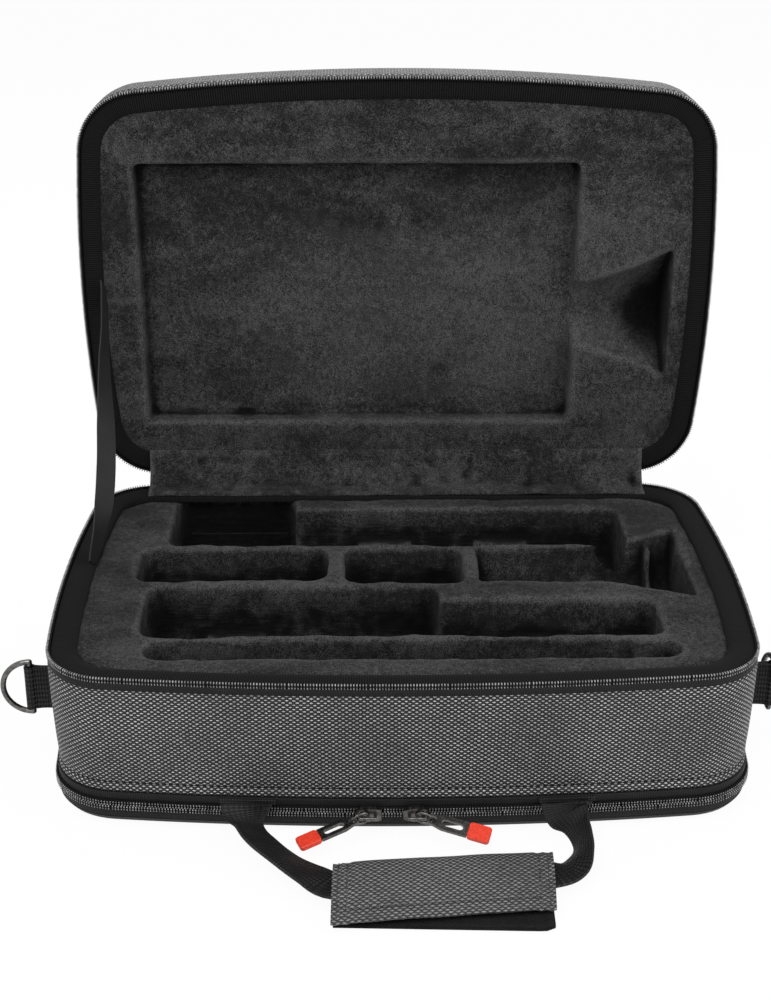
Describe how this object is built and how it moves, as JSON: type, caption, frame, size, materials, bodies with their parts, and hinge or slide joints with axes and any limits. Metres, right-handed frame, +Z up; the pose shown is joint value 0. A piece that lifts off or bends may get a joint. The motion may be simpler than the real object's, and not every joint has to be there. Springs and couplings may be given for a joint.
{
  "type": "clarinet case",
  "caption": "Soft-sided zipped clamshell case for a clarinet, with moulded plush insert, under-base pocket, folding handle and strap rings.",
  "frame": {"origin": "on the resting face, under the middle of the plan outline", "axes": "+X along the case's length, +Y towards the lid's hinge, +Z up; the lid stands open at rest"},
  "size_m": [0.4093, 0.3633, 0.3344],
  "materials": {
    "ballistic_nylon": "woven, coated, semi-matt",
    "black_webbing": "ribbed weave, matt",
    "zip_tape": "fine weave, matt",
    "zip_coil": "satin monofilament coil",
    "plush": "crushed velour pile",
    "knit_band": "smooth knit, matt",
    "foam_shell": "expanded bead foam",
    "board": "rigid sheet",
    "gunmetal": "black nickel, satin",
    "ring_metal": "black nickel, glossy",
    "red_rubber": "moulded, satin",
    "hook_tape": "napped hook tape, matt"
  },
  "bodies": {
    "base": {"base_shell": "foam_shell", "base_fabric": "ballistic_nylon", "base_insert": "plush", "base_rim_band": "knit_band", "base_zip_tape": "zip_tape", "base_zip_coil": "zip_coil", "pocket_board": "board", "pocket_upper_tape": "zip_tape", "pocket_upper_coil": "zip_coil", "pocket_hinge_strip": "zip_tape", "ring_tab_left": "black_webbing", "ring_tab_right": "black_webbing", "handle_anchor_left": "black_webbing", "handle_anchor_right": "black_webbing", "main_slider_left": "gunmetal", "main_slider_right": "gunmetal", "hinge_gusset": "ballistic_nylon", "hinge_lining": "plush", "stay_ribbon": "black_webbing"},
    "lid": {"lid_shell": "foam_shell", "lid_fabric": "ballistic_nylon", "lid_liner": "plush", "lid_rim_band": "knit_band", "lid_zip_tape": "zip_tape", "lid_zip_coil": "zip_coil"},
    "pocket_flap": {"pocket_panel": "ballistic_nylon", "pocket_lower_tape": "zip_tape", "pocket_lower_coil": "zip_coil"},
    "handle": {"handle_webbing": "black_webbing", "grip_wrap": "ballistic_nylon", "hook_strip": "hook_tape"},
    "pocket_slider_left": {"pocket_slider_left": "gunmetal"},
    "pocket_link_left": {"pocket_link_left": "gunmetal"},
    "pocket_pull_left": {"pocket_pull_left": "gunmetal", "pocket_tip_left": "red_rubber"},
    "pocket_slider_right": {"pocket_slider_right": "gunmetal"},
    "pocket_link_right": {"pocket_link_right": "gunmetal"},
    "pocket_pull_right": {"pocket_pull_right": "gunmetal", "pocket_tip_right": "red_rubber"},
    "main_link_left": {"main_link_left": "gunmetal"},
    "main_pull_left": {"main_pull_left": "gunmetal", "main_tip_left": "red_rubber"},
    "main_link_right": {"main_link_right": "gunmetal"},
    "main_pull_right": {"main_pull_right": "gunmetal", "main_tip_right": "red_rubber"},
    "strap_ring_left": {"strap_ring_left": "ring_metal"},
    "strap_ring_right": {"strap_ring_right": "ring_metal"}
  },
  "joints": [
    {"name": "lid_hinge", "type": "hinge", "parent": "base", "child": "lid", "pos_m": [0, 0.1201, 0.087], "axis": [1, 0, 0], "range_deg": [0, 87.3], "deforming": ["hinge_gusset", "hinge_lining", "stay_ribbon"]},
    {"name": "pocket_hinge", "type": "hinge", "parent": "base", "child": "pocket_flap", "pos_m": [0, 0.1147, 0.013], "axis": [1, 0, 0], "range_deg": [0, 75], "deforming": ["pocket_hinge_strip"]},
    {"name": "handle_lift", "type": "hinge", "parent": "base", "child": "handle", "pos_m": [0, -0.12766, 0.019], "axis": [-1, 0, 0], "range_deg": [0, 85]},
    {"name": "pocket_zip_left", "type": "hinge", "parent": "base", "child": "pocket_slider_left", "pos_m": [0, 1.25133, 0.013], "axis": [0, 0, 1], "range_deg": [-4.99, 0]},
    {"name": "pocket_link_left_swing", "type": "hinge", "parent": "pocket_slider_left", "child": "pocket_link_left", "pos_m": [-0.01805, -0.13073, 0.013], "axis": [0, 0, 1], "range_deg": [-8, 10]},
    {"name": "pocket_pull_left_swing", "type": "hinge", "parent": "pocket_link_left", "child": "pocket_pull_left", "pos_m": [-0.02503, -0.13399, 0.013], "axis": [0, 0, 1], "range_deg": [-12, 12]},
    {"name": "pocket_zip_right", "type": "hinge", "parent": "base", "child": "pocket_slider_right", "pos_m": [0, 1.25133, 0.013], "axis": [0, 0, 1], "range_deg": [0, 4.99]},
    {"name": "pocket_link_right_swing", "type": "hinge", "parent": "pocket_slider_right", "child": "pocket_link_right", "pos_m": [0.00602, -0.13084, 0.013], "axis": [0, 0, 1], "range_deg": [-10, 4]},
    {"name": "pocket_pull_right_swing", "type": "hinge", "parent": "pocket_link_right", "child": "pocket_pull_right", "pos_m": [0.01325, -0.13347, 0.013], "axis": [0, 0, 1], "range_deg": [-10, 8]},
    {"name": "main_link_left_swing", "type": "hinge", "parent": "base", "child": "main_link_left", "pos_m": [-0.141, 0.12065, 0.0847], "axis": [1, 0, 0], "range_deg": [0, 45]},
    {"name": "main_pull_left_swing", "type": "hinge", "parent": "main_link_left", "child": "main_pull_left", "pos_m": [-0.141, 0.1216, 0.0796], "axis": [0, 1, 0], "range_deg": [-35, 35]},
    {"name": "main_link_right_swing", "type": "hinge", "parent": "base", "child": "main_link_right", "pos_m": [0.141, 0.12065, 0.0847], "axis": [1, 0, 0], "range_deg": [0, 45]},
    {"name": "main_pull_right_swing", "type": "hinge", "parent": "main_link_right", "child": "main_pull_right", "pos_m": [0.141, 0.1216, 0.0796], "axis": [0, 1, 0], "range_deg": [-35, 35]},
    {"name": "strap_ring_left_swing", "type": "hinge", "parent": "base", "child": "strap_ring_left", "pos_m": [-0.19489, -0.063, 0.049], "axis": [0, 0, 1], "range_deg": [-80, 80]},
    {"name": "strap_ring_right_swing", "type": "hinge", "parent": "base", "child": "strap_ring_right", "pos_m": [0.19489, -0.063, 0.049], "axis": [0, 0, 1], "range_deg": [-175, 0]}
  ]
}
